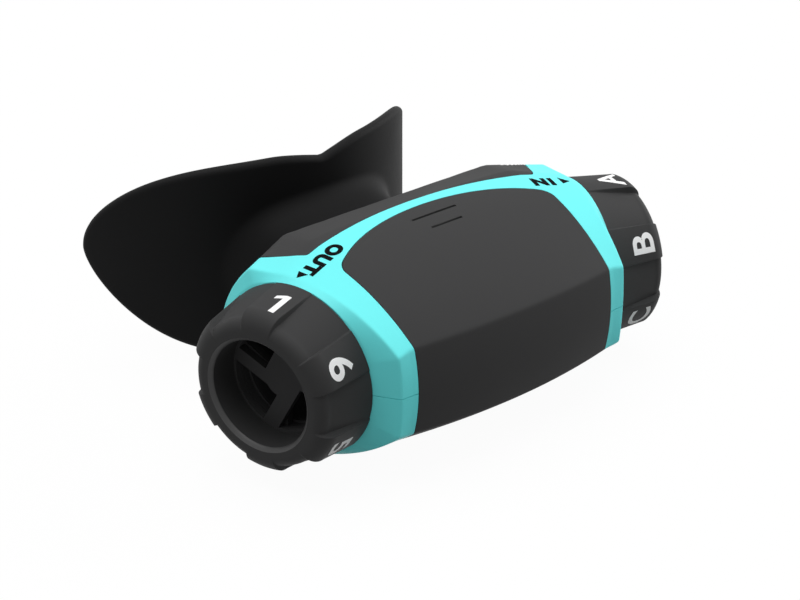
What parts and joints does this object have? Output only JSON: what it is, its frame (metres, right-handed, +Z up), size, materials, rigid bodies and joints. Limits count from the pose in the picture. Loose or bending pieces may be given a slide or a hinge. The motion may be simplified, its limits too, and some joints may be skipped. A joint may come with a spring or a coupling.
{
  "type": "breathing trainer",
  "caption": "Hand-held breathing trainer: barrel body with a turning resistance dial at each end, a removable electronics unit in front and a curved lip shield with bite tabs behind.",
  "frame": {"origin": "on the flat underside, at the middle of the bottom strip of the frame", "axes": "+X along the barrel towards the inhale dial, -Y towards the electronics unit, +Y towards the mouthpiece, +Z up"},
  "size_m": [0.1029, 0.0891, 0.0432],
  "materials": {
    "aqua": "satin",
    "dark_grey": "fine matte",
    "dial_grey": "fine matte",
    "inner_dark": "matte",
    "silicone": "satin",
    "seal_rubber": "matte",
    "valve_white": "matte",
    "steel": "brushed",
    "board_green": "satin",
    "chip_black": "matte",
    "battery_foil": "satin",
    "sensor_white": "matte"
  },
  "bodies": {
    "body": {"upper_frame": "aqua", "lower_frame": "aqua", "rear_cover": "dark_grey", "air_chamber": "inner_dark", "mouthpiece_socket": "inner_dark", "socket_gasket": "seal_rubber", "exhale_shutter_plate": "inner_dark", "inhale_shutter_plate": "inner_dark", "exhale_valve_seat": "valve_white", "inhale_valve_seat": "valve_white", "exhale_dial_seal": "seal_rubber", "inhale_dial_seal": "seal_rubber", "exhale_detent_spring": "steel", "inhale_detent_spring": "steel", "frame_screws": "steel"},
    "electronics_unit": {"front_cover": "dark_grey", "unit_back_plate": "inner_dark", "circuit_board": "board_green", "board_components": "chip_black", "battery": "battery_foil", "pressure_sensor": "sensor_white", "sensor_port_seal": "seal_rubber", "charging_socket": "steel", "unit_screws": "steel"},
    "exhale_dial": {"exhale_dial": "dial_grey", "exhale_orifice_disc": "inner_dark"},
    "inhale_dial": {"inhale_dial": "dial_grey", "inhale_orifice_disc": "inner_dark"},
    "mouthpiece": {"mouthpiece": "silicone"},
    "exhale_flap": {"exhale_valve_flap": "seal_rubber"},
    "inhale_flap": {"inhale_valve_flap": "seal_rubber"},
    "exhale_ball": {"exhale_detent_ball": "steel"},
    "inhale_ball": {"inhale_detent_ball": "steel"}
  },
  "joints": [
    {"name": "exhale_dial_turn", "type": "hinge", "parent": "body", "child": "exhale_dial", "pos_m": [-0.036, -0.008, 0.02025], "axis": [0.9632, 0.2689, 0], "range_deg": [0, 300]},
    {"name": "inhale_dial_turn", "type": "hinge", "parent": "body", "child": "inhale_dial", "pos_m": [0.036, -0.008, 0.02025], "axis": [-0.9632, 0.2689, 0], "range_deg": [0, 300]},
    {"name": "electronics_unit_slide", "type": "slide", "parent": "body", "child": "electronics_unit", "axis": [0, -1, 0], "range_m": [0, 0.03]},
    {"name": "mouthpiece_slide", "type": "slide", "parent": "body", "child": "mouthpiece", "axis": [0, 1, 0], "range_m": [0, 0.014]},
    {"name": "exhale_flap_lift", "type": "hinge", "parent": "body", "child": "exhale_flap", "pos_m": [-0.02911, -0.00608, 0.02831], "axis": [-0.2689, 0.9632, 0], "range_deg": [0, 25], "stiffness_Nm_per_rad": 0.0002},
    {"name": "inhale_flap_lift", "type": "hinge", "parent": "body", "child": "inhale_flap", "pos_m": [0.02748, -0.00562, 0.02831], "axis": [0.2689, 0.9632, 0], "range_deg": [0, 25], "stiffness_Nm_per_rad": 0.0002},
    {"name": "exhale_ball_press", "type": "slide", "parent": "body", "child": "exhale_ball", "axis": [0.9632, 0.2689, 0], "range_m": [0, 0.0003], "stiffness_N_per_m": 200},
    {"name": "inhale_ball_press", "type": "slide", "parent": "body", "child": "inhale_ball", "axis": [-0.9632, 0.2689, 0], "range_m": [0, 0.0003], "stiffness_N_per_m": 200}
  ]
}
